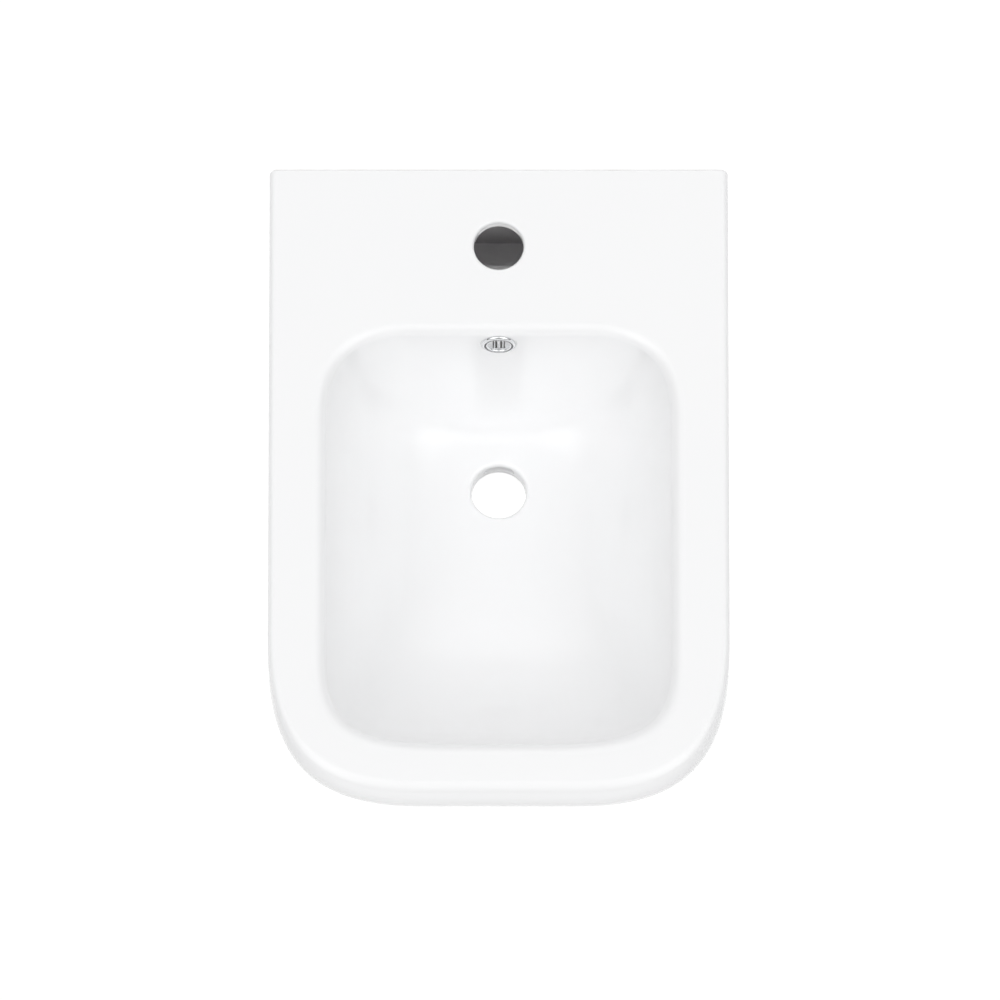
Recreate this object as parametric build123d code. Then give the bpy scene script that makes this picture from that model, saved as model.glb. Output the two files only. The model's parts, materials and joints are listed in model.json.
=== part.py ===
from build123d import *
from math import atan2, cos, radians, sin, sqrt
import os

# Wall-hung bidet. X runs to the right, Y runs into the wall and Z runs up, in millimetres.
# The wall is the plane Y = 0, and the origin lies on it, midway between the two fixing holes.
# Depths are measured down from the deck, and distances from the wall are positive.
# A corner of an outline is its run across, its run along and the fullness of its curve.

# Outside of the ceramic body
width = 360
length = 520
height = 290
deck_above_fixings = 80
foot_width = 240
foot_length = 275
front_belly_power = 1.5
side_belly_power = 2
wall_corner = 4
front_corner_across = 118
front_corner_along = 125
front_corner_fullness = 0.7
top_edge_roll = 5
front_roll_depth = 20
front_roll_set_back = 9
foot_edge_roll = 3

# Bowl
side_rim = 43
front_rim = 41
deck_length = 136
bowl_depth = 140
bowl_draft = 0.3
bowl_power = 3
bowl_rear_corner_across = 66
bowl_rear_corner_along = 68
bowl_rear_corner_fullness = 0.66
bowl_front_corner_across = 106
bowl_front_corner_along = 72
bowl_front_corner_fullness = 0.8
bowl_edge_roll = 8
waste_from_wall = 219
waste_flat = 62
waste_flat_corner = 24
waste_flat_fullness = 0.55

# Ceramic thicknesses
shell_wall = 12
bowl_wall = 10
deck_thickness = 12
rear_wall = 18
waste_boss_radius = 34
waste_boss_length = 17

# Holes and hollows in the ceramic
tap_hole_radius = 19.5
tap_hole_from_wall = 64
tap_hole_roll = 1.5
waste_hole_radius = 21.75
waste_hole_roll = 1.25
fixing_spacing = 180
fixing_hole_radius = 9.5
notch_width = 150
notch_height = 58
notch_corner = 20
cross_rail_depth = 121
cross_rail_height = 28
cross_rail_stand_out = 18
cross_rail_edge_roll = 3

# Overflow hole in the back of the bowl, and the channel from it to the waste hole
overflow_below_deck = 22
overflow_hole_radius = 10.8
overflow_seat_margin = 0.5
overflow_seat_sink = 0.6
channel_clearance = 0.6
channel_roof = 5
channel_bore_depth = 7
channel_wall = 5

# Overflow trim
bezel_skirt = 1
bezel_lip = 0.3
bezel_thickness = 3.2
bezel_edge_roll = 1.75
seal_width = 1.6
seal_thickness = 1
trim_clearance = 0.3
sleeve_wall = 1.3
sleeve_behind_wall = 3.6
catch_stand_out = 0.9
catch_length = 2
catch_gap = 0.8
sleeve_slit_width = 3
sleeve_slit_start = 3
grille_thickness = 1.2
grille_rim = 1.32
grille_inner_slot_width = 1.6
grille_inner_slot_centre = 1.95
grille_outer_slot_width = 1
grille_outer_slot_centre = 4.3

# Wall fixings, each for one M12 stud
bush_bore_radius = 6.5
bush_clearance = 0.4
bush_flange_thickness = 3
cushion_thickness = 2
cushion_radius = 16
washer_radius = 15
washer_thickness = 2.5
nut_across_flats = 18
nut_bore_radius = 6.1
nut_height = 10.8
nut_chamfer = 0.8

deck = deck_above_fixings
bowl_half_width = width / 2 - side_rim
bowl_front = length - front_rim
floor_back = waste_from_wall - waste_flat / 2
floor_front = waste_from_wall + waste_flat / 2
well_beyond = width + length + height

front_corner = (front_corner_across, front_corner_along, front_corner_fullness)
bowl_rear_corner = (bowl_rear_corner_across, bowl_rear_corner_along, bowl_rear_corner_fullness)
bowl_front_corner = (bowl_front_corner_across, bowl_front_corner_along, bowl_front_corner_fullness)
flat_corner = (waste_flat_corner, waste_flat_corner, waste_flat_fullness)
sharp_corner = (0, 0, 0)

sleeve_radius = overflow_hole_radius - trim_clearance
sleeve_bore_radius = sleeve_radius - sleeve_wall
catch_radius = sleeve_radius + catch_stand_out
channel_bore_half = catch_radius + channel_clearance
channel_top = overflow_below_deck - channel_bore_half
seal_radius = overflow_hole_radius + seal_width
bezel_radius = seal_radius + bezel_skirt
bezel_opening_radius = sleeve_bore_radius - bezel_lip

cushion_top = rear_wall + cushion_thickness
flange_top = cushion_top + bush_flange_thickness
washer_top = flange_top + washer_thickness


# Outlines and plain solids

def quarter(start, knee, end, fullness):
    """Full quarter curve from start to end that swells towards the knee."""
    towards_start = start + (knee - start) * fullness
    towards_end = end + (knee - end) * fullness
    return Bezier(start, towards_start, towards_end, end)


def grown(corner, amount):
    """Corner of an outline that stands this much further out."""
    across, along, fullness = corner
    return across + amount, along + amount, fullness


def between(first, last, share):
    """Corner that has gone this share of the way from the first corner to the last."""
    return tuple(a + (b - a) * share for a, b in zip(first, last))


def outline(depth, half, back, front, front_curve, rear_curve=sharp_corner):
    """Closed outline at one depth, alike left and right, with sharp rear corners unless they are given."""
    across, along, fullness = front_curve
    rear_across, rear_along, rear_fullness = rear_curve

    def at(x, from_wall):
        return Vector(x, -from_wall, deck - depth)

    def side(sign):
        rear_start, rear_end = at(sign * (half - rear_across), back), at(sign * half, back + rear_along)
        front_start, front_end = at(sign * half, front - along), at(sign * (half - across), front)
        edges = [
            Line(rear_end, front_start),
            quarter(front_start, at(sign * half, front), front_end, fullness),
        ]
        if rear_across:
            edges.append(quarter(rear_start, at(sign * half, back), rear_end, rear_fullness))
        return edges

    rear_edge = Line(at(rear_across - half, back), at(half - rear_across, back))
    front_edge = Line(at(half - across, front), at(across - half, front))
    return Face(Wire([rear_edge, front_edge, *side(1), *side(-1)]))


def block(half_width, from_wall, depths):
    """Upright block centred on X = 0 between two distances from the wall and two depths."""
    size = (2 * half_width, from_wall[1] - from_wall[0], depths[1] - depths[0])
    return Pos(0, -sum(from_wall) / 2, deck - sum(depths) / 2) * Box(*size)


def rod(plane, radius, start, end):
    """Round rod on a plane's axis between two heights above the plane."""
    return plane.offset((start + end) / 2) * Cylinder(radius, end - start)


def ring(plane, outer, inner, start, end):
    """Round ring on a plane's axis between two heights above the plane."""
    return rod(plane, outer, start, end) - rod(plane, inner, start - 1, end + 1)


# Forms of the ceramic body

def shell_section(depth, inset):
    """Outer shell at one depth: set back in the front roll, upright below it, drawn in to the foot."""
    below_roll = max(0, depth - front_roll_depth) / (height - front_roll_depth)
    above_roll = max(0, front_roll_depth - depth) / front_roll_depth
    half = width / 2 - below_roll**side_belly_power * (width - foot_width) / 2
    front = length - below_roll**front_belly_power * (length - foot_length)
    front -= above_roll**2 * front_roll_set_back
    narrowing = half / (width / 2)
    across, along, fullness = front_corner
    corner = (across * narrowing, along * narrowing, fullness)
    return outline(depth, half - inset, -shell_wall, front - inset, grown(corner, -inset))


def shell_solid(inset):
    """Outer shell from the deck to past the foot, running a little way past the wall plane too."""
    steps_to_foot = 5
    start = 2 * front_roll_depth
    levels = [0, front_roll_depth]
    levels += [start + (height - start) * step / steps_to_foot for step in range(steps_to_foot + 2)]
    return loft([shell_section(depth, inset) for depth in levels])


def bowl_share(fall):
    """How much of its spread the bowl still has at this share of its depth, from 1 at the mouth to 0."""
    return bowl_draft * (1 - fall) + (1 - bowl_draft) * (1 - fall**bowl_power) ** (1 / bowl_power)


def bowl_back_at(share):
    """Distance of the bowl's back from the wall where the bowl has this share of its spread."""
    return floor_back - (floor_back - deck_length) * share


def bowl_solid(grow):
    """Bowl, whose wall leans in evenly with its draft and then turns into the flat round the waste."""
    turns_in_degrees = (0, 22.5, 45, 67.5, 80, 90)
    sections = []
    for turn in turns_in_degrees:
        fall = sin(radians(turn)) ** (2 / bowl_power)
        share = bowl_share(fall)
        half = waste_flat / 2 + (bowl_half_width - waste_flat / 2) * share
        front = floor_front + (bowl_front - floor_front) * share
        sections.append(outline(
            (bowl_depth + grow) * fall,
            half + grow,
            bowl_back_at(share) - grow,
            front + grow,
            grown(between(flat_corner, bowl_front_corner, share), grow),
            grown(between(flat_corner, bowl_rear_corner, share), grow),
        ))
    return loft(sections)


def overflow_plane():
    """Seat of the overflow trim, sunk in the bowl's leaning back wall, facing out of it."""
    fall = overflow_below_deck / bowl_depth
    turning = (fall / (1 - fall**bowl_power) ** (1 / bowl_power)) ** (bowl_power - 1)
    lean = atan2((floor_back - deck_length) * (bowl_draft + (1 - bowl_draft) * turning), bowl_depth)
    seat = Plane(
        origin=(0, -bowl_back_at(bowl_share(fall)), deck - overflow_below_deck),
        x_dir=(1, 0, 0),
        z_dir=(0, -cos(lean), sin(lean)),
    )
    return seat.offset(-overflow_seat_sink)


def fixing_plane(side):
    """Wall plane at one fixing hole, facing out of the wall."""
    return Plane(origin=(side * fixing_spacing / 2, 0, 0), x_dir=(1, 0, 0), z_dir=(0, -1, 0))


def plumb_plane(from_wall, depth):
    """Level plane on the centre line, facing up."""
    return Plane(origin=(0, -from_wall, deck - depth), x_dir=(1, 0, 0), z_dir=(0, 0, 1))


# Ceramic body: one hollow casting

def rear_notch():
    """Way through the foot of the rear wall for the hoses and the waste pipe."""
    depths = (height - notch_height, height + notch_corner)
    cutter = block(notch_width / 2, (-rear_wall, 2 * rear_wall), depths)
    return fillet(cutter.edges().filter_by(Axis.Y), notch_corner)


def overflow_channel():
    """Channel behind and below the bowl wall, as its outside and its bore."""
    bore_grow = channel_roof + channel_bore_depth
    outside_half = channel_bore_half + channel_wall
    span = (rear_wall, waste_from_wall)
    outside = bowl_solid(bore_grow + channel_wall) & block(outside_half, span, (0, height))
    bore = bowl_solid(bore_grow) - bowl_solid(channel_roof)
    return outside, bore & block(channel_bore_half, span, (channel_top, height))


def rolled(body, depth, radius, chosen):
    """Body with its chosen edges at one depth rolled over."""
    level = body.edges().filter_by(lambda edge: abs(edge.center().Z - (deck - depth)) < 0.01)
    return fillet(level.filter_by(chosen), radius)


def ceramic_body():
    """Shell, deck, bowl, waste boss, overflow channel and rear wall in one casting."""
    outside = shell_solid(0) & block(well_beyond, (0, well_beyond), (0, height))
    wall_edges = outside.edges().filter_by(lambda edge: abs(edge.center().Y) < 0.01)
    outside = fillet(wall_edges.filter_by(lambda edge: abs(edge.center().X) > foot_width / 4), wall_corner)
    outside = fillet(outside.faces().sort_by(Axis.Z)[-1].edges(), top_edge_roll)
    foot_edges = outside.faces().sort_by(Axis.Z)[0].edges()
    outside = fillet(foot_edges.filter_by(lambda edge: edge.center().Y < -0.01), foot_edge_roll)
    hollow = shell_solid(shell_wall) & block(width, (rear_wall, length), (deck_thickness, height))
    channel, channel_bore = overflow_channel()
    waste = plumb_plane(waste_from_wall, bowl_depth)
    tap = plumb_plane(tap_hole_from_wall, 0)
    rail_depths = (cross_rail_depth, cross_rail_depth + cross_rail_height)
    rail = block(width, (0, rear_wall + cross_rail_stand_out), rail_depths)
    rail = fillet(rail.faces().sort_by(Axis.Y)[0].edges().filter_by(Axis.X), cross_rail_edge_roll) & outside

    body = (outside - hollow) + bowl_solid(bowl_wall) + channel + rail
    body = body + rod(waste, waste_boss_radius, -waste_boss_length, 0)
    body = body - channel_bore - bowl_solid(0) - rear_notch()
    body = body - rod(tap, tap_hole_radius, -2 * deck_thickness, 1)
    body = body - rod(waste, waste_hole_radius, -waste_boss_length - 1, 1)
    for side in (-1, 1):
        body = body - rod(fixing_plane(side), fixing_hole_radius, -1, rear_wall + 1)
    seat = overflow_plane()
    body = body - rod(seat, bezel_radius + overflow_seat_margin, 0, bowl_wall)
    body = body - rod(seat, overflow_hole_radius, -channel_roof - channel_bore_depth / 2, 1)

    def is_round(edge):
        return edge.geom_type == GeomType.CIRCLE

    def is_bowl_edge(edge):
        across, from_wall = abs(edge.center().X), -edge.center().Y
        return across < bowl_half_width + 1 and deck_length - 1 < from_wall < bowl_front + 1

    body = rolled(body, 0, bowl_edge_roll, is_bowl_edge)
    body = rolled(body, 0, tap_hole_roll, is_round)
    return rolled(body, bowl_depth, waste_hole_roll, is_round)


# Overflow trim: bezel, grille, sleeve and seal, stacked on the seat

def overflow_bezel():
    """Domed chrome ring over the rim of the overflow hole, with a recess behind it for the seal."""
    seat = overflow_plane()
    bezel = ring(seat, bezel_radius, bezel_opening_radius, 0, bezel_thickness)
    front_edges = bezel.edges().filter_by(GeomType.CIRCLE).filter_by(
        lambda edge: seat.to_local_coords(edge.center()).Z > bezel_thickness / 2)
    bezel = fillet(front_edges, bezel_edge_roll)
    return bezel - rod(seat, seal_radius, -1, seal_thickness)


def overflow_sleeve():
    """Slit sleeve that passes through the ceramic and snaps behind it with a raised catch."""
    seat = overflow_plane()
    wall_back = overflow_seat_sink - channel_roof
    end = wall_back - sleeve_behind_wall
    catch_start = wall_back - catch_gap
    sleeve = ring(seat, sleeve_radius, sleeve_bore_radius, end, seal_thickness)
    sleeve = sleeve + ring(seat, catch_radius, sleeve_bore_radius, catch_start - catch_length, catch_start)
    slit = Box(sleeve_slit_width, 4 * sleeve_radius, 2 * (-end - sleeve_slit_start))
    for turn in (0, 90):
        sleeve = sleeve - seat.offset(end) * Rot(0, 0, turn) * slit
    return sleeve


def overflow_grille():
    """Round plate with upright slots, set in the mouth of the sleeve behind the bezel."""
    seat = overflow_plane()
    grille = rod(seat, sleeve_bore_radius, seal_thickness - grille_thickness, seal_thickness)
    outermost = grille_outer_slot_centre + grille_outer_slot_width / 2
    slot_height = 2 * sqrt((sleeve_bore_radius - grille_rim) ** 2 - outermost**2)
    slots = (
        (grille_inner_slot_centre, grille_inner_slot_width),
        (grille_outer_slot_centre, grille_outer_slot_width),
    )
    for side in (-1, 1):
        for centre, slot_width in slots:
            slot = Pos(side * centre, 0, 0) * Box(slot_width, slot_height, 4 * grille_thickness)
            grille = grille - seat * slot
    return grille


def overflow_seal():
    """Flat rubber ring round the sleeve, pressed on the seat by the bezel."""
    return ring(overflow_plane(), seal_radius, overflow_hole_radius, 0, seal_thickness)


# Wall fixings: bush, cushion, washer and nut, stacked on the inside of the rear wall

def fixing_bush(side):
    """Shouldered plastic bush that keeps the stud off the ceramic."""
    wall = fixing_plane(side)
    bush = rod(wall, fixing_hole_radius - bush_clearance, 0, cushion_top)
    bush = bush + rod(wall, cushion_radius, cushion_top, flange_top)
    return bush - rod(wall, bush_bore_radius, -1, flange_top + 1)


def cushion_washer(side):
    """Rubber washer between the bush's flange and the ceramic."""
    return ring(fixing_plane(side), cushion_radius, fixing_hole_radius, rear_wall, cushion_top)


def steel_washer(side):
    """Steel washer that spreads the nut's load over the bush's flange."""
    return ring(fixing_plane(side), washer_radius, bush_bore_radius, flange_top, washer_top)


def fixing_nut(side):
    """Hexagon nut with chamfered corners."""
    wall = fixing_plane(side)
    end = washer_top + nut_height
    corner_radius = nut_across_flats / sqrt(3)
    hexagon = RegularPolygon(corner_radius, 6)
    nut = extrude(wall.offset(washer_top) * hexagon, nut_height)
    blank = rod(wall, corner_radius, washer_top, end)
    blank = chamfer(blank.edges().filter_by(GeomType.CIRCLE), nut_chamfer)
    return (nut & blank) - rod(wall, nut_bore_radius, washer_top - 1, end + 1)


pieces = {
    "ceramic_body": ceramic_body(),
    "overflow_bezel": overflow_bezel(),
    "overflow_grille": overflow_grille(),
    "overflow_sleeve": overflow_sleeve(),
    "overflow_seal": overflow_seal(),
}
for side, name in ((-1, "left"), (1, "right")):
    pieces[f"fixing_bush_{name}"] = fixing_bush(side)
    pieces[f"cushion_washer_{name}"] = cushion_washer(side)
    pieces[f"steel_washer_{name}"] = steel_washer(side)
    pieces[f"fixing_nut_{name}"] = fixing_nut(side)

os.makedirs("parts", exist_ok=True)
for name, piece in pieces.items():
    export_step(piece, f"parts/{name}.step")
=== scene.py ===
import json
from math import asin, atan2, cos, pi, radians, sin, sqrt, tan

import bmesh
import bpy
from mathutils import Matrix, Vector
from mathutils.geometry import interpolate_bezier


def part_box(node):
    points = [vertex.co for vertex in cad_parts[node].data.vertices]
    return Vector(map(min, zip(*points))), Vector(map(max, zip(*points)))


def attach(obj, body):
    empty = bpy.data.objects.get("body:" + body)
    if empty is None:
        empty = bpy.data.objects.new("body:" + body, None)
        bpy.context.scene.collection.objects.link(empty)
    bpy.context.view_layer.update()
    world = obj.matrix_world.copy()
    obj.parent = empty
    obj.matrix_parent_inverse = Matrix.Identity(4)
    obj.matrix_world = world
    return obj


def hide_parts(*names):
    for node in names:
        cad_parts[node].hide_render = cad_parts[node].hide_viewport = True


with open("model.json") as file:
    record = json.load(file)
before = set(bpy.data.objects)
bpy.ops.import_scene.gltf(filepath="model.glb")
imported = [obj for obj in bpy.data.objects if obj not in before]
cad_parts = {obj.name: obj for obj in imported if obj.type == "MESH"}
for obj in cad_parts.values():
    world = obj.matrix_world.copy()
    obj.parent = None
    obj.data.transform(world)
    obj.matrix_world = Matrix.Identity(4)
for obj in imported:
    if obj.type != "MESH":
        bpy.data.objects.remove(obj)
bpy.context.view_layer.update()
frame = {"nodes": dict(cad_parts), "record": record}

# Glaze and bare clay
# White glaze is sprayed on about half a millimetre thick, and flows glassy smooth with a slight wave.
# The wall face and the foot are wiped clean. The inside gets a thin pale wash, and above the rail it is
# painted darker as shade.

mm = 0.001
low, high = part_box("ceramic_body")
deck = high.z
height = high.z - low.z
glaze_low, glaze_high = (0.935, 0.938, 0.945, 1), (0.95, 0.952, 0.955, 1)
wiped_low, wiped_high = (0.66, 0.63, 0.57, 1), (0.74, 0.71, 0.66, 1)
# The first wash colour is painted shade for the inside above the rail; the second is the pale wash itself.
painted_shade_wash, wash_high = (0.56, 0.55, 0.56, 1), (0.96, 0.95, 0.96, 1)
rail_depth = 121 * mm
glaze_wave, glaze_peel, clay_grain = 0.05 * mm, 0.002 * mm, 0.03 * mm
glaze_roughness, clay_roughness, wiped_roughness = 0.12, 0.25, 0.6


class Pattern:
    """Output of a shader node. Sums, differences and products of patterns add their own Math nodes."""

    def __init__(self, tree, output=None):
        self.tree = tree
        self.output = output

    def node(self, kind, settings, values, output=0):
        """Adds a node: its settings first, then the values or links of its sockets."""
        made = self.tree.nodes.new(kind)
        for name, value in settings.items():
            setattr(made, name, value)
        for name, value in values.items():
            if isinstance(value, Pattern):
                self.tree.links.new(value.output, made.inputs[name])
            else:
                made.inputs[name].default_value = value
        return Pattern(self.tree, made.outputs[output])

    def maths(self, operation, first, second):
        return self.node("ShaderNodeMath", {"operation": operation}, {0: first, 1: second})

    def __add__(self, other):
        return self.maths("ADD", self, other)

    def __sub__(self, other):
        return self.maths("SUBTRACT", self, other)

    def __rsub__(self, other):
        return self.maths("SUBTRACT", other, self)

    def __mul__(self, other):
        return self.maths("MULTIPLY", self, other)

    __radd__ = __add__
    __rmul__ = __mul__

    def either(self, other):
        """Whichever of two patterns is greater."""
        return self.maths("MAXIMUM", self, other)

    def rise(self, start, end):
        """Smooth climb from 0 to 1 between two values of the pattern."""
        return self.node("ShaderNodeMapRange", {"interpolation_type": "SMOOTHSTEP"},
                         {"Value": self, "From Min": start, "From Max": end})

    def tint(self, low, high):
        """Colour that goes from low to high with the pattern."""
        return self.node("ShaderNodeMix", {"data_type": "RGBA"}, {0: self, 6: low, 7: high}, 2)

    def noise(self, scale, detail=2, stretch=(1, 1, 1)):
        """Cloudy noise over these coordinates, with so many cells to the metre."""
        spread = self.node("ShaderNodeMapping", {}, {"Vector": self, "Scale": stretch})
        return self.node("ShaderNodeTexNoise", {}, {"Vector": spread, "Scale": scale, "Detail": detail})

    def part(self, axis):
        """One of the three parts of a vector."""
        return self.node("ShaderNodeSeparateXYZ", {}, {0: self}, axis)


def finish(name, metallic=0):
    """New material with its shader and the coordinates of the piece that wears it."""
    material = bpy.data.materials.new(name)
    material.use_nodes = True
    shader = material.node_tree.nodes["Principled BSDF"]
    shader.inputs["Metallic"].default_value = metallic
    place = Pattern(material.node_tree).node("ShaderNodeTexCoord", {}, {}, "Object")
    return material, shader, place


def wear(shader, colour, roughness, relief):
    """Feeds a shader its colour, its roughness and its relief in metres."""
    normal = relief.node("ShaderNodeBump", {}, {"Height": relief, "Distance": 1.0, "Strength": 1.0})
    for socket, pattern in (("Base Color", colour), ("Roughness", roughness), ("Normal", normal)):
        pattern.tree.links.new(pattern.output, shader.inputs[socket])


glaze, shader, place = finish("white_glaze")
wobble = place.noise(60) * 1.6 * mm
wiped = (place.part(1) + wobble).rise(-0.1 * mm, 0.5 * mm).either(
    (deck - height - place.part(2) + wobble).rise(0.1 * mm, 0.7 * mm))
clay_speck = place.noise(700, 4)
glaze_colour = place.noise(7).tint(glaze_low, glaze_high)
colour = wiped.node("ShaderNodeMix", {"data_type": "RGBA"},
                    {0: wiped, 6: glaze_colour, 7: clay_speck.tint(wiped_low, wiped_high)}, 2)
roughness = wiped * wiped_roughness + place.noise(35) * 0.04 + glaze_roughness
relief = (place.noise(20, 1) * glaze_wave + place.noise(260) * glaze_peel) * (1 - wiped)
wear(shader, colour, roughness, relief + clay_speck * wiped * clay_grain)

clay, shader, place = finish("wash_with_painted_shade")
cloud = place.noise(9, 4)
sponge = place.noise(30, 3, (1, 1, 5))
grain = place.noise(500, 4)
# Above the rail the inside is painted darker as shade, with a wavy edge at the rail; from the rail down it
# has the pale wash.
clear_of_painted_shade = (deck - place.part(2) + cloud * 2 * mm).rise(rail_depth - 1 * mm, rail_depth + 1 * mm)
wear(shader, (clear_of_painted_shade * 0.8 + (cloud * 0.6 + sponge * 0.4).rise(0.3, 0.7) * 0.2).tint(painted_shade_wash, wash_high),
     sponge * 0.2 + clay_roughness, sponge * 0.25 * mm + grain * clay_grain)
ceramic = (glaze, clay)
glaze_slot, clay_slot = 0, 1

# Ceramic body
# One hollow casting of vitreous china, slip-cast in a plaster mould, glazed and fired.
# It hangs on the wall by two holes in its rear wall, and its underside is open for the plumbing.
# Depths are measured down from the deck, and distances from the wall are positive.

width = high.x - low.x
length = high.y - low.y
mounts = {mount["name"]: mount for mount in frame["record"]["mounts"]}

foot_width = 240 * mm
foot_length = 275 * mm
front_belly_power = 1.5
side_belly_power = 2
front_roll_depth = 20 * mm
front_roll_set_back = 9 * mm
top_roll = 5 * mm
top_roll_at_wall = 2 * mm
foot_roll = 3 * mm
rim_crown = 1 * mm
rim_crown_power = 1.3
front_crown_start = 0.8
shell_wall = 12 * mm
rear_wall = 18 * mm
deck_thickness = 12 * mm
cove = 8 * mm

bowl_half_width = width / 2 - 43 * mm
bowl_front = length - 41 * mm
bowl_back = 136 * mm
bowl_depth = 140 * mm
bowl_draft = 0.3
bowl_power = 3
bowl_wall = 10 * mm
bowl_roll = 8 * mm
waste_from_wall = -mounts["waste_hole"]["pos_m"][1]
waste_radius = mounts["waste_hole"]["dims"]["r_mm"] * mm
waste_roll = 3.5 * mm
waste_draft = 0.5 * mm
waste_flat_half = 31 * mm
boss_radius = 34 * mm
boss_depth = bowl_depth + 17 * mm
boss_roll = 2 * mm
floor_back = waste_from_wall - waste_flat_half
floor_front = waste_from_wall + waste_flat_half

# A corner is its run across, its run along and the fullness of its curve.
round_fullness = 0.55
wall_corner = (4 * mm, 4 * mm, round_fullness)
cavity_corner = (8 * mm, 8 * mm, round_fullness)
front_corner = (118 * mm, 125 * mm, 0.7)
bowl_rear_corner = (66 * mm, 68 * mm, 0.66)
bowl_front_corner = (106 * mm, 72 * mm, 0.8)
flat_corner = (24 * mm, 24 * mm, round_fullness)

# Steps along half of an outline: rear edge, rear corner, side, front corner and front edge
rear_edge_steps, rear_corner_steps, side_steps, front_corner_steps, front_edge_steps = 14, 14, 36, 24, 14

# Rings down the cavity, up the outside, through the front roll, down the bowl and up its underside,
# and down the waste hole and up its boss. The bowl's rings crowd together towards its mouth.
cavity_steps, outside_steps, front_roll_steps, bowl_steps, under_steps = 16, 36, 7, 56, 26
waste_steps, boss_steps = 5, 4
bowl_crowding = 1.4

# Shares of the way across the deck, from its outer edge to the bowl's mouth
deck_shares = (0.01, 0.04, 0.12, 0.26, 0.42, 0.58, 0.74, 0.88, 0.96, 0.99)


def straight(start, end, steps):
    """Points along a straight stretch, without its end."""
    return [start.lerp(end, step / steps) for step in range(steps)]


def bend(start, knee, end, fullness, steps):
    """Points along a curve that swells from its ends towards the knee, without its end."""
    handles = start.lerp(knee, fullness), end.lerp(knee, fullness)
    return interpolate_bezier(start, *handles, end, steps + 1)[:-1]


def outline(depth, half, back, front, rear_corner, front_corner):
    """Closed outline at one depth, from the middle of the rear edge all the way round."""
    rear_across, rear_along, rear_fullness = rear_corner
    across, along, fullness = front_corner
    rear_start, rear_end = Vector((half - rear_across, back)), Vector((half, back + rear_along))
    front_start, front_end = Vector((half, front - along)), Vector((half - across, front))
    right = straight(Vector((0, back)), rear_start, rear_edge_steps)
    right += bend(rear_start, Vector((half, back)), rear_end, rear_fullness, rear_corner_steps)
    right += straight(rear_end, front_start, side_steps)
    right += bend(front_start, Vector((half, front)), front_end, fullness, front_corner_steps)
    right += straight(front_end, Vector((0, front)), front_edge_steps)
    left = [Vector((-point.x, point.y)) for point in reversed(right[1:])]
    return [Vector((x, -from_wall, deck - depth)) for x, from_wall in (*right, Vector((0, front)), *left)]


def grown(corner, amount):
    """Corner of an outline that stands this much further out."""
    across, along, fullness = corner
    return across + amount, along + amount, fullness


def between(first, last, share):
    """Corner that has gone this share of the way from the first corner to the last."""
    return tuple(a + (b - a) * share for a, b in zip(first, last))


def roll(radius, steps):
    """How far out and how far down a quarter roll stands at each step from its upper end."""
    turns = [radians(90 * step / steps) for step in range(steps + 1)]
    return [(radius * (1 - sin(turn)), radius * (1 - cos(turn))) for turn in turns]


def mixed(first, last, share):
    """Ring that has gone this share of the way from the first ring to the last."""
    return [a.lerp(b, share) for a, b in zip(first, last)]


def crowned(first, last, share):
    """Ring part of the way across the rim, which falls away in a curve towards its outer edge."""
    ring = mixed(first, last, share)
    for outer, inner, point in zip(first, last, ring):
        point.z = inner.z - (inner.z - outer.z) * (1 - share)**rim_crown_power
    return ring


def shell_ring(depth, inset, back, rear_corner):
    """Shell at one depth: set back in the front roll, upright below it and drawn in to the foot."""
    below_roll = max(0, depth - front_roll_depth) / (height - front_roll_depth)
    above_roll = max(0, front_roll_depth - depth) / front_roll_depth
    half = width / 2 - below_roll**side_belly_power * (width - foot_width) / 2
    front = length - below_roll**front_belly_power * (length - foot_length)
    front -= above_roll**2 * front_roll_set_back
    narrowing = half / (width / 2)
    across, along, fullness = front_corner
    corner = grown((across * narrowing, along * narrowing, fullness), -inset)
    ring = outline(depth, half - inset, back, front - inset, rear_corner, corner)
    for point in ring:
        forward = max(0, -point.y / length - front_crown_start) / (1 - front_crown_start)
        point.z -= above_roll * rim_crown * forward
    return ring


def bowl_turn(depth, grow=0):
    """Turn of the bowl's quarter curve at which its wall has reached this depth."""
    return asin((depth / (bowl_depth + grow)) ** (bowl_power / 2))


def bowl_share(fall):
    """How much of its spread the bowl still has at this share of its depth, from 1 at the mouth to 0."""
    return bowl_draft * (1 - fall) + (1 - bowl_draft) * max(0, 1 - fall**bowl_power) ** (1 / bowl_power)


def bowl_back_at(share):
    """Distance of the bowl's back from the wall where the bowl has this share of its spread."""
    return floor_back - (floor_back - bowl_back) * share


def bowl_ring(turn, grow, outward=0):
    """Bowl at one turn of the quarter curve that its wall follows from the mouth to the waste."""
    fall = sin(turn) ** (2 / bowl_power)
    share = bowl_share(fall)
    out = grow + outward
    return outline(
        (bowl_depth + grow) * fall,
        waste_flat_half + (bowl_half_width - waste_flat_half) * share + out,
        bowl_back_at(share) - out,
        floor_front + (bowl_front - floor_front) * share + out,
        grown(between(flat_corner, bowl_rear_corner, share), out),
        grown(between(flat_corner, bowl_front_corner, share), out),
    )


def waste_ring(depth, radius):
    """Circle round the waste, with its points in line with those of the bowl's flat."""
    centre = Vector((0, -waste_from_wall, deck - bowl_depth))
    down = Vector((0, 0, bowl_depth - depth))
    return [centre + down + (point - centre).normalized() * radius for point in bowl_ring(pi / 2, 0)]


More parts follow.
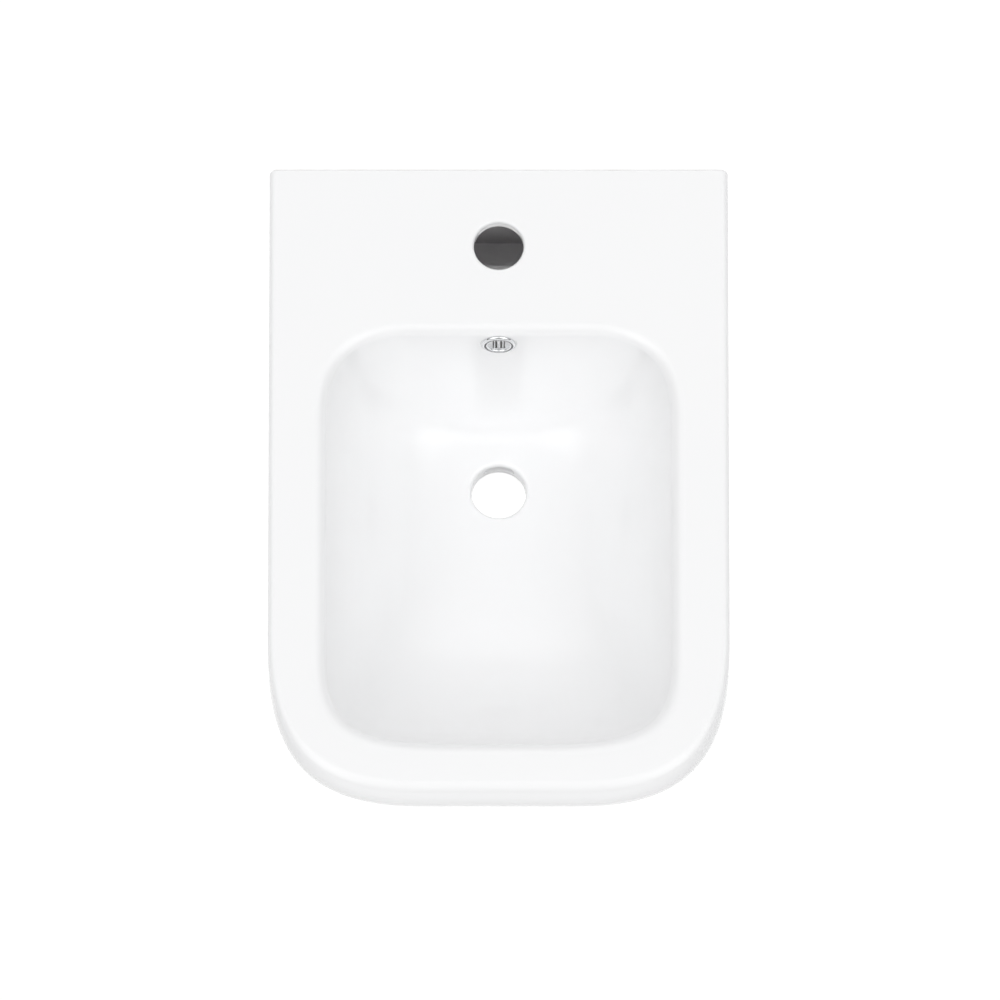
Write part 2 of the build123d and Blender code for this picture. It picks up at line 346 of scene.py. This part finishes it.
def skin(runs):
    """Mesh over runs of rings, each run with its material number, closed on itself or at its two ends."""
    solid = bmesh.new()
    number = solid.verts.layers.int.new("number")
    first_ring = runs[0][0][0]
    circle = bmesh.ops.create_circle(solid, cap_ends=False, radius=1, segments=len(first_ring))
    for index, vertex in enumerate(circle["verts"]):
        vertex[number] = index
        vertex.co = first_ring[index]
    edges = solid.edges[:]
    for rings, material in runs:
        for ring in rings:
            made = bmesh.ops.extrude_edge_only(solid, edges=edges)["geom"]
            fresh = {item for item in made if isinstance(item, bmesh.types.BMVert)}
            for vertex in fresh:
                vertex.co = ring[vertex[number]]
            edges = [item for item in made
                     if isinstance(item, bmesh.types.BMEdge) and set(item.verts) <= fresh]
            for face in {face for edge in edges for face in edge.link_faces}:
                face.material_index = material
    bmesh.ops.remove_doubles(solid, verts=solid.verts, dist=0.001 * mm)
    bmesh.ops.holes_fill(solid, edges=solid.edges)
    bmesh.ops.recalc_face_normals(solid, faces=solid.faces)
    return solid


def placed(name, materials, solid, place=Matrix()):
    """New object at the origin that holds a finished mesh, with its materials and in its place."""
    bmesh.ops.transform(solid, matrix=place, verts=solid.verts)
    data = bpy.data.meshes.new(name)
    for material in materials:
        data.materials.append(material)
    solid.to_mesh(data)
    solid.free()
    data.shade_smooth()
    made = bpy.data.objects.new(name, data)
    bpy.context.scene.collection.objects.link(made)
    return made


def settled(piece):
    """Piece with its modifiers applied and its hard edges kept hard."""
    changed = piece.evaluated_get(bpy.context.evaluated_depsgraph_get())
    piece.data = bpy.data.meshes.new_from_object(changed)
    piece.modifiers.clear()
    piece.data.shade_smooth()
    piece.data.set_sharp_from_angle(angle=radians(38))
    return piece


def worked(piece, operation, *tools):
    """Joins each tool to the piece, cuts it out of the piece or keeps only what lies in it."""
    for tool in tools:
        step = piece.modifiers.new(tool.name, "BOOLEAN")
        step.object, step.operation, step.solver = tool, operation, "MANIFOLD"
    settled(piece)
    for tool in tools:
        bpy.data.objects.remove(tool)
    return piece


cavity_top = deck_thickness + cove
cavity_rings = [shell_ring(deck_thickness + down, shell_wall + out, rear_wall + out, cavity_corner)
                for out, down in roll(cove, 4)]
for step in range(1, cavity_steps + 1):
    depth = cavity_top + (height - foot_roll - cavity_top) * step / cavity_steps
    cavity_rings.append(shell_ring(depth, shell_wall, rear_wall, cavity_corner))
cavity_rings += [shell_ring(height - down, shell_wall - out, rear_wall - out, cavity_corner)
                 for out, down in reversed(roll(foot_roll, 4)[:-1])]

outside_rings = [shell_ring(height - down, out, 0, wall_corner) for out, down in roll(foot_roll, 4)]
for step in range(1, outside_steps + 1):
    depth = height - foot_roll - (height - foot_roll - front_roll_depth) * step / outside_steps
    outside_rings.append(shell_ring(depth, 0, 0, wall_corner))
for step in range(1, front_roll_steps + 1):
    depth = front_roll_depth - (front_roll_depth - top_roll) * step / front_roll_steps
    outside_rings.append(shell_ring(depth, 0, 0, wall_corner))
for out, down in reversed(roll(top_roll, 8)[:-1]):
    left = max(0, top_roll_at_wall - down)
    back = top_roll_at_wall - sqrt(top_roll_at_wall**2 - left**2)
    outside_rings.append(shell_ring(down, out, back, wall_corner))

mouth_rings = [bowl_ring(bowl_turn(down), 0, out) for out, down in roll(bowl_roll, 8)]
deck_rings = [crowned(outside_rings[-1], mouth_rings[0], share) for share in deck_shares]
mouth_turn = bowl_turn(bowl_roll)
bowl_rings = [bowl_ring(mouth_turn + (pi / 2 - mouth_turn) * (step / bowl_steps) ** bowl_crowding, 0)
              for step in range(1, bowl_steps + 1)]

waste_edge = waste_ring(bowl_depth, waste_radius + waste_roll)
waste_rings = [mixed(bowl_rings[-1], waste_edge, share) for share in (0.3, 0.7, 0.94)]
waste_rings += [waste_ring(bowl_depth + down, waste_radius + out) for out, down in roll(waste_roll, 5)]
for step in range(1, waste_steps + 1):
    depth = bowl_depth + waste_roll + (boss_depth - waste_roll - bowl_depth - waste_roll) * step / waste_steps
    waste_rings.append(waste_ring(depth, waste_radius - waste_draft * step / waste_steps))

underside_depth = bowl_depth + bowl_wall
boss_rings = [waste_ring(boss_depth, waste_radius)]
boss_rings += [waste_ring(boss_depth - down, boss_radius - out) for out, down in roll(boss_roll, 4)]
for step in range(1, boss_steps):
    depth = boss_depth - boss_roll - (boss_depth - boss_roll - underside_depth) * step / boss_steps
    boss_rings.append(waste_ring(depth, boss_radius))

top_turn = bowl_turn(cavity_top, bowl_wall)
under_rings = [bowl_ring(pi / 2 - (pi / 2 - top_turn) * step / under_steps, bowl_wall)
               for step in range(under_steps + 1)]
under_rings += [bowl_ring(bowl_turn(deck_thickness + down, bowl_wall), bowl_wall, out)
                for out, down in reversed(roll(cove, 4)[:-1])]

body = placed("glazed_body", ceramic, skin((
    (cavity_rings, clay_slot),
    (outside_rings + deck_rings + mouth_rings + bowl_rings + waste_rings, glaze_slot),
    (boss_rings + under_rings + [cavity_rings[0]], clay_slot),
)))

# Joined and cut into the casting
# The maker joins a clay channel and a cross rail inside the shell while it is leather-hard, then
# punches the holes and sponges their edges round before glazing.

overflow_depth = 22 * mm
overflow_radius = 10.8 * mm
seat_radius = 13.9 * mm
seat_sink = 0.6 * mm
channel_half = 12 * mm
channel_roof = 5 * mm
channel_bore = 7 * mm
channel_wall = 5 * mm
channel_top = overflow_depth - channel_half
channel_squareness = 0.45
channel_steps, channel_points = 20, 32
tap_from_wall = -mounts["tap_hole"]["pos_m"][1]
tap_radius = mounts["tap_hole"]["dims"]["r_mm"] * mm
tap_roll = 2.5 * mm
tap_under_roll = 3 * mm
fixing_half_spacing = mounts["wall_studs"]["dims"]["spacing_x_mm"] * mm / 2
fixing_radius = 9.5 * mm
fixing_roll = 1 * mm
notch_half = 75 * mm
notch_height = 58 * mm
notch_corner = 20 * mm
notch_roll = 2 * mm
rail_height = 28 * mm
rail_stand_out = 18 * mm
rail_roll = 3 * mm
beyond = 6 * mm
hair = 0.01 * mm


def rounded(corners, steps=6):
    """Profile with rounded corners. A corner is its radius from the axis, its height and its round."""
    points = []
    for index, (radius, level, size) in enumerate(corners):
        corner = Vector((radius, level))
        if not size:
            points.append(corner)
            continue
        before = (Vector(corners[index - 1][:2]) - corner).normalized()
        after = (Vector(corners[(index + 1) % len(corners)][:2]) - corner).normalized()
        turn = pi - before.angle(after)
        run = size * tan(turn / 2)
        reach = run - size * tan(turn / 4) * 4 / 3
        points += interpolate_bezier(corner + before * run, corner + before * reach,
                                     corner + after * reach, corner + after * run, steps)
    return points


def turned(corners, steps=96, material=glaze_slot):
    """Solid turned about its axis from a rounded profile, which is closed where it leaves the axis."""
    solid = bmesh.new()
    points = [solid.verts.new((radius, 0, level)) for radius, level in rounded(corners)]
    pairs = list(zip(points, points[1:]))
    if corners[0][0] > 0:
        pairs.append((points[-1], points[0]))
    edges = [solid.edges.new(pair) for pair in pairs]
    bmesh.ops.spin(solid, geom=points + edges, cent=(0, 0, 0), axis=(0, 0, 1), angle=2 * pi,
                   steps=steps, use_merge=True)
    bmesh.ops.remove_doubles(solid, verts=solid.verts, dist=0.001 * mm)
    bmesh.ops.recalc_face_normals(solid, faces=solid.faces)
    for face in solid.faces:
        face.material_index = material
    return solid


def hole(radius, front_roll, back_roll, thickness, material):
    """Tool for a round hole with rolled edges through a wall whose front is at level 0."""
    return turned((
        (0, beyond, 0), (radius + front_roll, beyond, 0), (radius + front_roll, hair, 0),
        (radius, hair, front_roll), (radius, -thickness - hair, back_roll),
        (radius + back_roll, -thickness - hair, 0), (radius + back_roll, -thickness - beyond, 0),
        (0, -thickness - beyond, 0),
    ), material=material)


def facing(origin, lean):
    """Place of a piece that faces the room, leaning up by this angle."""
    up = Vector((0, sin(lean), cos(lean)))
    out = Vector((0, -cos(lean), sin(lean)))
    return Matrix.Translation(origin) @ Matrix((Vector((1, 0, 0)), up, out)).transposed().to_4x4()


def channel_rings(half, inner, outer, top, end):
    """Rounded section that follows the back of the bowl from under the deck to the waste."""
    def ring(turn):
        fall = sin(turn) ** (2 / bowl_power)
        points = []
        for step in range(channel_points):
            angle = radians(360 * step / channel_points)
            across = half * (abs(cos(angle)) ** channel_squareness) * (1 if cos(angle) > 0 else -1)
            out = 0.5 * (1 + (abs(sin(angle)) ** channel_squareness) * (1 if sin(angle) > 0 else -1))
            grow = inner + (outer - inner) * out
            depth = (bowl_depth + grow) * fall
            points.append(Vector((across, grow - bowl_back_at(bowl_share(fall)), deck - depth)))
        return points

    start = bowl_turn(top, inner)
    rings = [ring(start + (pi / 2 - start) * step / channel_steps) for step in range(channel_steps + 1)]
    last = [Vector((point.x, -end, point.z)) for point in rings[-1]]
    return rings + [mixed(rings[-1], last, 0.5), last]


def window_ring(from_wall, grow):
    """Arched window in the foot of the rear wall, open below, at one distance from the wall."""
    half, top, bottom = notch_half + grow, deck - height + notch_height + grow, deck - height - beyond
    corner = notch_corner + grow
    points = [Vector((-half, bottom))]
    points += bend(Vector((-half, top - corner)), Vector((-half, top)), Vector((corner - half, top)),
                   round_fullness, 8)
    points += bend(Vector((half - corner, top)), Vector((half, top)), Vector((half, top - corner)),
                   round_fullness, 8)
    points += [Vector((half, top - corner)), Vector((half, bottom))]
    return [Vector((x, -from_wall, z)) for x, z in points]


channel_end = waste_from_wall - (boss_radius + waste_radius) / 2 + beyond / 3
outer_rings = channel_rings(channel_half + channel_wall, channel_roof / 2,
                            channel_roof + channel_bore + channel_wall, deck_thickness / 2, channel_end)
inner_rings = channel_rings(channel_half, channel_roof, channel_roof + channel_bore, channel_top,
                            waste_from_wall)
channel = placed("channel", ceramic, skin(((outer_rings, clay_slot),)))
bore = placed("bore", ceramic, skin(((inner_rings, glaze_slot),)))

rail_mesh = bmesh.new()
bmesh.ops.create_cube(rail_mesh, size=1)
front_edges = [edge for edge in rail_mesh.edges if all(vertex.co.y < 0 for vertex in edge.verts)
               and abs(edge.verts[0].co.x - edge.verts[1].co.x) > 0.5]
for vertex in rail_mesh.verts:
    depth = rail_depth + rail_height * (0.5 - vertex.co.z)
    below_roll = (depth - front_roll_depth) / (height - front_roll_depth)
    half = width / 2 - below_roll**side_belly_power * (width - foot_width) / 2 - shell_wall / 2
    from_wall = rear_wall + (rail_stand_out if vertex.co.y < 0 else -rear_wall / 2)
    vertex.co = (2 * half * vertex.co.x, -from_wall, deck - depth)
bmesh.ops.bevel(rail_mesh, geom=front_edges, offset=rail_roll, segments=4, profile=0.5,
                affect="EDGES", material=-1)
for face in rail_mesh.faces:
    face.material_index = clay_slot
rail = placed("rail", ceramic, rail_mesh)

overflow_fall = overflow_depth / bowl_depth
turning = (overflow_fall / (1 - overflow_fall**bowl_power) ** (1 / bowl_power)) ** (bowl_power - 1)
overflow_lean = atan2((floor_back - bowl_back) * (bowl_draft + (1 - bowl_draft) * turning), bowl_depth)
overflow_out = Vector((0, -cos(overflow_lean), sin(overflow_lean)))
overflow_middle = Vector((0, -bowl_back_at(bowl_share(overflow_fall)), deck - overflow_depth))
overflow_place = facing(overflow_middle - overflow_out * seat_sink, overflow_lean)
mid_channel = channel_roof + channel_bore / 2
overflow_seat = placed("overflow_seat", ceramic, turned((
    (0, 2 * beyond, 0), (seat_radius + seat_sink, 2 * beyond, 0), (seat_radius + seat_sink, seat_sink, 0),
    (seat_radius, 0, 0), (overflow_radius, 0, 0.3 * mm), (overflow_radius, -mid_channel, 0),
    (0, -mid_channel, 0),
)), overflow_place)
tap_way = hole(tap_radius, tap_roll, tap_under_roll, deck_thickness, glaze_slot)
tap_hole = placed("tap_hole", ceramic, tap_way, Matrix.Translation((0, -tap_from_wall, deck)))
notch_rolls = roll(notch_roll, 5)
notch = placed("notch", ceramic, skin(((
    [window_ring(-beyond, notch_roll)]
    + [window_ring(down - hair, out) for out, down in notch_rolls]
    + [window_ring(rear_wall + hair - down, out) for out, down in reversed(notch_rolls)]
    + [window_ring(rear_wall + beyond, notch_roll)], clay_slot),)))
fixing_holes = []
for side in (-1, 1):
    stud_way = hole(fixing_radius, fixing_roll, fixing_roll, rear_wall, clay_slot)
    fixing_holes.append(placed("fixing_hole", ceramic, stud_way,
                               facing(Vector((side * fixing_half_spacing, -rear_wall, 0)), 0)))
worked(body, "UNION", channel, rail)
worked(body, "DIFFERENCE", bore, overflow_seat, tap_hole, notch, *fixing_holes)
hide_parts("ceramic_body")
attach(body, "root")

# Overflow trim
# A domed brass ring, chromed and polished, clips over the hole in the bowl's back wall. A pierced satin
# plate sits in it, on a white sleeve that snaps behind the ceramic and a rubber seal under the ring.

ring_radius = 13.4 * mm
ring_opening = 8.9 * mm
ring_thickness = 2.3 * mm
seal_radius = 12.4 * mm
seal_thickness = 1 * mm
plate_radius = 9.2 * mm
plate_thickness = 1.2 * mm
slot_centres = (1.95 * mm, 4.3 * mm)
slot_widths = (1.6 * mm, 1 * mm)
slot_half_height = 6.25 * mm
bar_round = 0.22 * mm

chrome, shader, place = finish("chrome", 1)
smear = place.noise(150, 3)
polish = place.noise(900, 2, (1, 1, 6))
wear(shader, smear.tint((0.78, 0.79, 0.8, 1), (0.87, 0.88, 0.89, 1)), smear * 0.05 + polish * 0.03 + 0.03,
     smear * 0.006 * mm + polish * 0.0006 * mm)
ring = placed("overflow_ring", (chrome,), turned((
    (ring_opening, seal_thickness, 0.15 * mm), (ring_opening, ring_thickness, 1.2 * mm),
    (ring_radius, ring_thickness, 1.9 * mm), (ring_radius, 0, 0.2 * mm),
    (seal_radius, 0, 0.2 * mm), (seal_radius, seal_thickness, 0),
), steps=128), overflow_place)
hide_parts("overflow_bezel")

satin, shader, place = finish("satin_chrome", 1)
brushed = place.noise(400, 3, (6, 1, 1))
wear(shader, brushed.tint((0.84, 0.85, 0.86, 1), (0.93, 0.94, 0.95, 1)), brushed * 0.1 + 0.28,
     brushed * 0.004 * mm)
plate = placed("overflow_plate", (satin,), turned((
    (0, seal_thickness, 0), (plate_radius, seal_thickness, bar_round),
    (plate_radius, seal_thickness - plate_thickness, bar_round), (0, seal_thickness - plate_thickness, 0),
)))
slots = []
for side in (-1, 1):
    for centre, slot_width in zip(slot_centres, slot_widths):
        slot_mesh = bmesh.new()
        bmesh.ops.create_cube(slot_mesh, size=1)
        bmesh.ops.scale(slot_mesh, vec=(slot_width, 2 * slot_half_height, 6 * mm), verts=slot_mesh.verts)
        uprights = [edge for edge in slot_mesh.edges if abs(edge.verts[0].co.z - edge.verts[1].co.z) > mm]
        bmesh.ops.bevel(slot_mesh, geom=uprights, offset=0.4 * slot_width, segments=5, profile=0.5,
                        affect="EDGES", material=-1)
        bmesh.ops.translate(slot_mesh, vec=(side * centre, 0, 0), verts=slot_mesh.verts)
        slots.append(placed("slot", (satin,), slot_mesh))
worked(plate, "DIFFERENCE", *slots)
edge_round = plate.modifiers.new("edge_round", "BEVEL")
edge_round.width, edge_round.segments, edge_round.limit_method = bar_round, 3, "ANGLE"
edge_round.angle_limit = radians(50)
settled(plate)
plate.data.transform(overflow_place)
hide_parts("overflow_grille")

for piece in (ring, plate):
    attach(piece, "root")

plastic, shader, place = finish("white_plastic")
bloom = place.noise(120, 3)
pit = place.noise(2500, 2)
wear(shader, bloom.tint((0.78, 0.78, 0.76, 1), (0.84, 0.84, 0.82, 1)), bloom * 0.15 + 0.35,
     pit * 0.008 * mm + bloom * 0.02 * mm)

rubber, shader, place = finish("black_rubber")
dust = place.noise(180, 4)
pit = place.noise(1500, 3)
wear(shader, dust.rise(0.5, 0.8).tint((0.022, 0.022, 0.024, 1), (0.07, 0.068, 0.066, 1)),
     dust * 0.2 + 0.6, pit * 0.03 * mm)

frame["nodes"]["overflow_sleeve"].material_slots[0].material = plastic
frame["nodes"]["overflow_seal"].material_slots[0].material = rubber

# Wall fixings
# On each side a wall stud passes through a shouldered plastic bush, which keeps it off the ceramic.
# A rubber cushion lies under the bush's flange, and a zinc-plated washer and nut pull it all tight.

bush_bore = 6.5 * mm
bush_radius = 9.1 * mm
cushion_radius = 16 * mm
cushion_top = rear_wall + 2 * mm
flange_top = cushion_top + 3 * mm
washer_radius = 15 * mm
washer_top = flange_top + 2.5 * mm
nut_corner = 18 * mm / sqrt(3)
nut_top = washer_top + 10.8 * mm
thread_radius = 6.1 * mm
thread_depth = 0.95 * mm
thread_pitch = 1.75 * mm
nut_face_radius, past_nut_corner, nut_bevel_rise = 0.87 * nut_corner, 1.02 * nut_corner, 0.09 * nut_corner
nut_mouth_radius = 1.1 * thread_radius

# Shares of the pitch along the bore and of the depth of the thread, from one groove to the next
thread_shape = ((0.1, 0), (0.5, 1), (0.6, 1), (1, 0))

zinc, shader, place = finish("zinc_steel", 1)
spangle = place.node("ShaderNodeTexVoronoi", {}, {"Vector": place, "Scale": 900.0}, "Color").part(0)
cloud = place.noise(160, 3)
wear(shader, (cloud * 0.7 + spangle * 0.3).tint((0.5, 0.51, 0.54, 1), (0.7, 0.7, 0.68, 1)),
     spangle * 0.12 + cloud * 0.15 + 0.2, spangle * 0.006 * mm + cloud * 0.02 * mm)


def threaded_nut():
    """Hexagon nut, its corners turned off at both faces, with the grooves of a thread in its bore."""
    blank = bmesh.new()
    bmesh.ops.create_circle(blank, cap_ends=True, radius=nut_corner, segments=6)
    bmesh.ops.translate(blank, vec=(0, 0, washer_top), verts=blank.verts)
    risen = bmesh.ops.extrude_face_region(blank, geom=blank.faces[:])["geom"]
    bmesh.ops.translate(blank, vec=(0, 0, nut_top - washer_top),
                        verts=[item for item in risen if isinstance(item, bmesh.types.BMVert)])
    bmesh.ops.recalc_face_normals(blank, faces=blank.faces)
    nut = placed("nut", (zinc,), blank)
    turned_off = placed("turned_off", (zinc,), turned((
        (0, washer_top - hair, 0), (nut_face_radius, washer_top - hair, 0),
        (past_nut_corner, washer_top + nut_bevel_rise, 0), (past_nut_corner, nut_top - nut_bevel_rise, 0),
        (nut_face_radius, nut_top + hair, 0), (0, nut_top + hair, 0),
    )))
    worked(nut, "INTERSECT", turned_off)
    crests = []
    level = washer_top
    while level < nut_top:
        crests += [(thread_radius - deep * thread_depth, level + along * thread_pitch, 0)
                   for along, deep in thread_shape]
        level += thread_pitch
    inside = [crest for crest in crests if washer_top + 0.3 * mm < crest[1] < nut_top - 0.3 * mm]
    cutter = placed("cutter", (zinc,), turned((
        (0, washer_top - beyond, 0), (nut_mouth_radius, washer_top - beyond, 0),
        (nut_mouth_radius, washer_top - hair, 0), *inside, (nut_mouth_radius, nut_top + hair, 0),
        (nut_mouth_radius, nut_top + beyond, 0), (0, nut_top + beyond, 0),
    )))
    return worked(nut, "DIFFERENCE", cutter)


for side, name in ((-1, "left"), (1, "right")):
    stud = facing(Vector((side * fixing_half_spacing, 0, 0)), 0)
    bush = placed(f"bush_{name}", (plastic,), turned((
        (bush_bore, 0, 0.4 * mm), (bush_bore, flange_top, 0.4 * mm),
        (cushion_radius, flange_top, 0.8 * mm), (cushion_radius, cushion_top, 0.3 * mm),
        (bush_radius, cushion_top, 0.3 * mm), (bush_radius, 0, 0.5 * mm),
    )), stud)
    cushion = placed(f"cushion_{name}", (rubber,), turned((
        (fixing_radius, rear_wall, 0.2 * mm), (fixing_radius, cushion_top, 0.2 * mm),
        (cushion_radius, cushion_top, 0.7 * mm), (cushion_radius, rear_wall, 0.7 * mm),
    )), stud)
    washer = placed(f"washer_{name}", (zinc,), turned((
        (bush_bore, flange_top, 0.2 * mm), (bush_bore, washer_top, 0.35 * mm),
        (washer_radius, washer_top, 0.6 * mm), (washer_radius, flange_top, 0.2 * mm),
    )), stud)
    nut = threaded_nut()
    nut.name = f"nut_{name}"
    nut.data.transform(stud)
    for piece, node, slot in (
        (bush, "fixing_bush", "white_plastic"), (cushion, "cushion_washer", "black_rubber"),
        (washer, "steel_washer", "zinc_steel"), (nut, "fixing_nut", "zinc_steel"),
    ):
        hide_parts(f"{node}_{name}")
        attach(piece, "root")

# Studio
# A pale floor lies 400 mm below the deck, as the bidet hangs, under pairs of broad soft lights all round.
# It shows white to the camera and in the gloss, and is clear from below. The camera is in front, high up.

floor_half = 8
floor_below_deck = 400 * mm
white_glow = 1.05

floor_mesh = bmesh.new()
bmesh.ops.create_grid(floor_mesh, x_segments=1, y_segments=1, size=floor_half)
paper, shader, place = finish("paper")
shader.inputs["Base Color"].default_value = (0.75, 0.75, 0.75, 1)
shader.inputs["Roughness"].default_value = 0.9
seen = place.node("ShaderNodeLightPath", {}, {}, "Is Camera Ray").either(
    place.node("ShaderNodeLightPath", {}, {}, "Is Glossy Ray"))
white = place.node("ShaderNodeEmission", {}, {"Strength": white_glow})
clear = place.node("ShaderNodeBsdfTransparent", {}, {})
below = place.node("ShaderNodeNewGeometry", {}, {}, "Backfacing")
pale = Pattern(paper.node_tree, shader.outputs[0])
lit = place.node("ShaderNodeMixShader", {}, {0: seen, 1: pale, 2: white})
shown = place.node("ShaderNodeMixShader", {}, {0: below, 1: lit, 2: clear})
paper.node_tree.links.new(shown.output, paper.node_tree.nodes["Material Output"].inputs["Surface"])
floor = placed("floor", (paper,), floor_mesh, Matrix.Translation((0, 0, deck - floor_below_deck)))

world = bpy.data.worlds.new("studio")
bpy.context.scene.world = world
world.use_nodes = True
sky = Pattern(world.node_tree).node("ShaderNodeTexCoord", {}, {}, "Generated")


def softbox(direction, narrowness, strength):
    """Soft light from one direction, narrower with a higher power."""
    facing_it = sky.node("ShaderNodeVectorMath", {"operation": "DOT_PRODUCT"},
                         {0: sky, 1: direction}, "Value").either(0)
    return facing_it.maths("POWER", facing_it, narrowness) * strength


# Turn of each pair of lights from straight in front, height in degrees, narrowness and strength
light_pairs = ((45, 40, 10, 2.2), (45, 65, 16, 0.7), (90, 65, 16, 0.74), (135, 40, 10, 0.25),
               (135, 15, 8, 0.5), (180, 40, 10, 0.46), (180, 15, 8, 0.34))
light = 0
for turn, raised, narrowness, strength in light_pairs:
    out = cos(radians(raised))
    for side in (-1, 1):
        direction = (side * out * sin(radians(turn)), -out * cos(radians(turn)), sin(radians(raised)))
        light = softbox(direction, narrowness, strength) + light
sight = sky.node("ShaderNodeLightPath", {}, {}, "Is Camera Ray")
background = world.node_tree.nodes["Background"]
brightness = light * (1 - sight) + sight * white_glow
world.node_tree.links.new(brightness.output, background.inputs["Strength"])
background.inputs["Color"].default_value = (1, 1, 1, 1)
bpy.context.scene.view_settings.view_transform = "Standard"

elevation = radians(70.5)
distance = 16
seen_width = 0.78125
aim = Vector((0.00098, -0.2759, deck))
away = Vector((0, -cos(elevation), sin(elevation)))
camera_data = bpy.data.cameras.new("camera")
camera_data.lens = camera_data.sensor_width * distance / seen_width
camera_data.clip_end = 100
camera = bpy.data.objects.new("camera", camera_data)
camera.location = aim + away * distance
camera.rotation_euler = (-away).to_track_quat("-Z", "Y").to_euler()
bpy.context.scene.collection.objects.link(camera)
bpy.context.scene.camera = camera
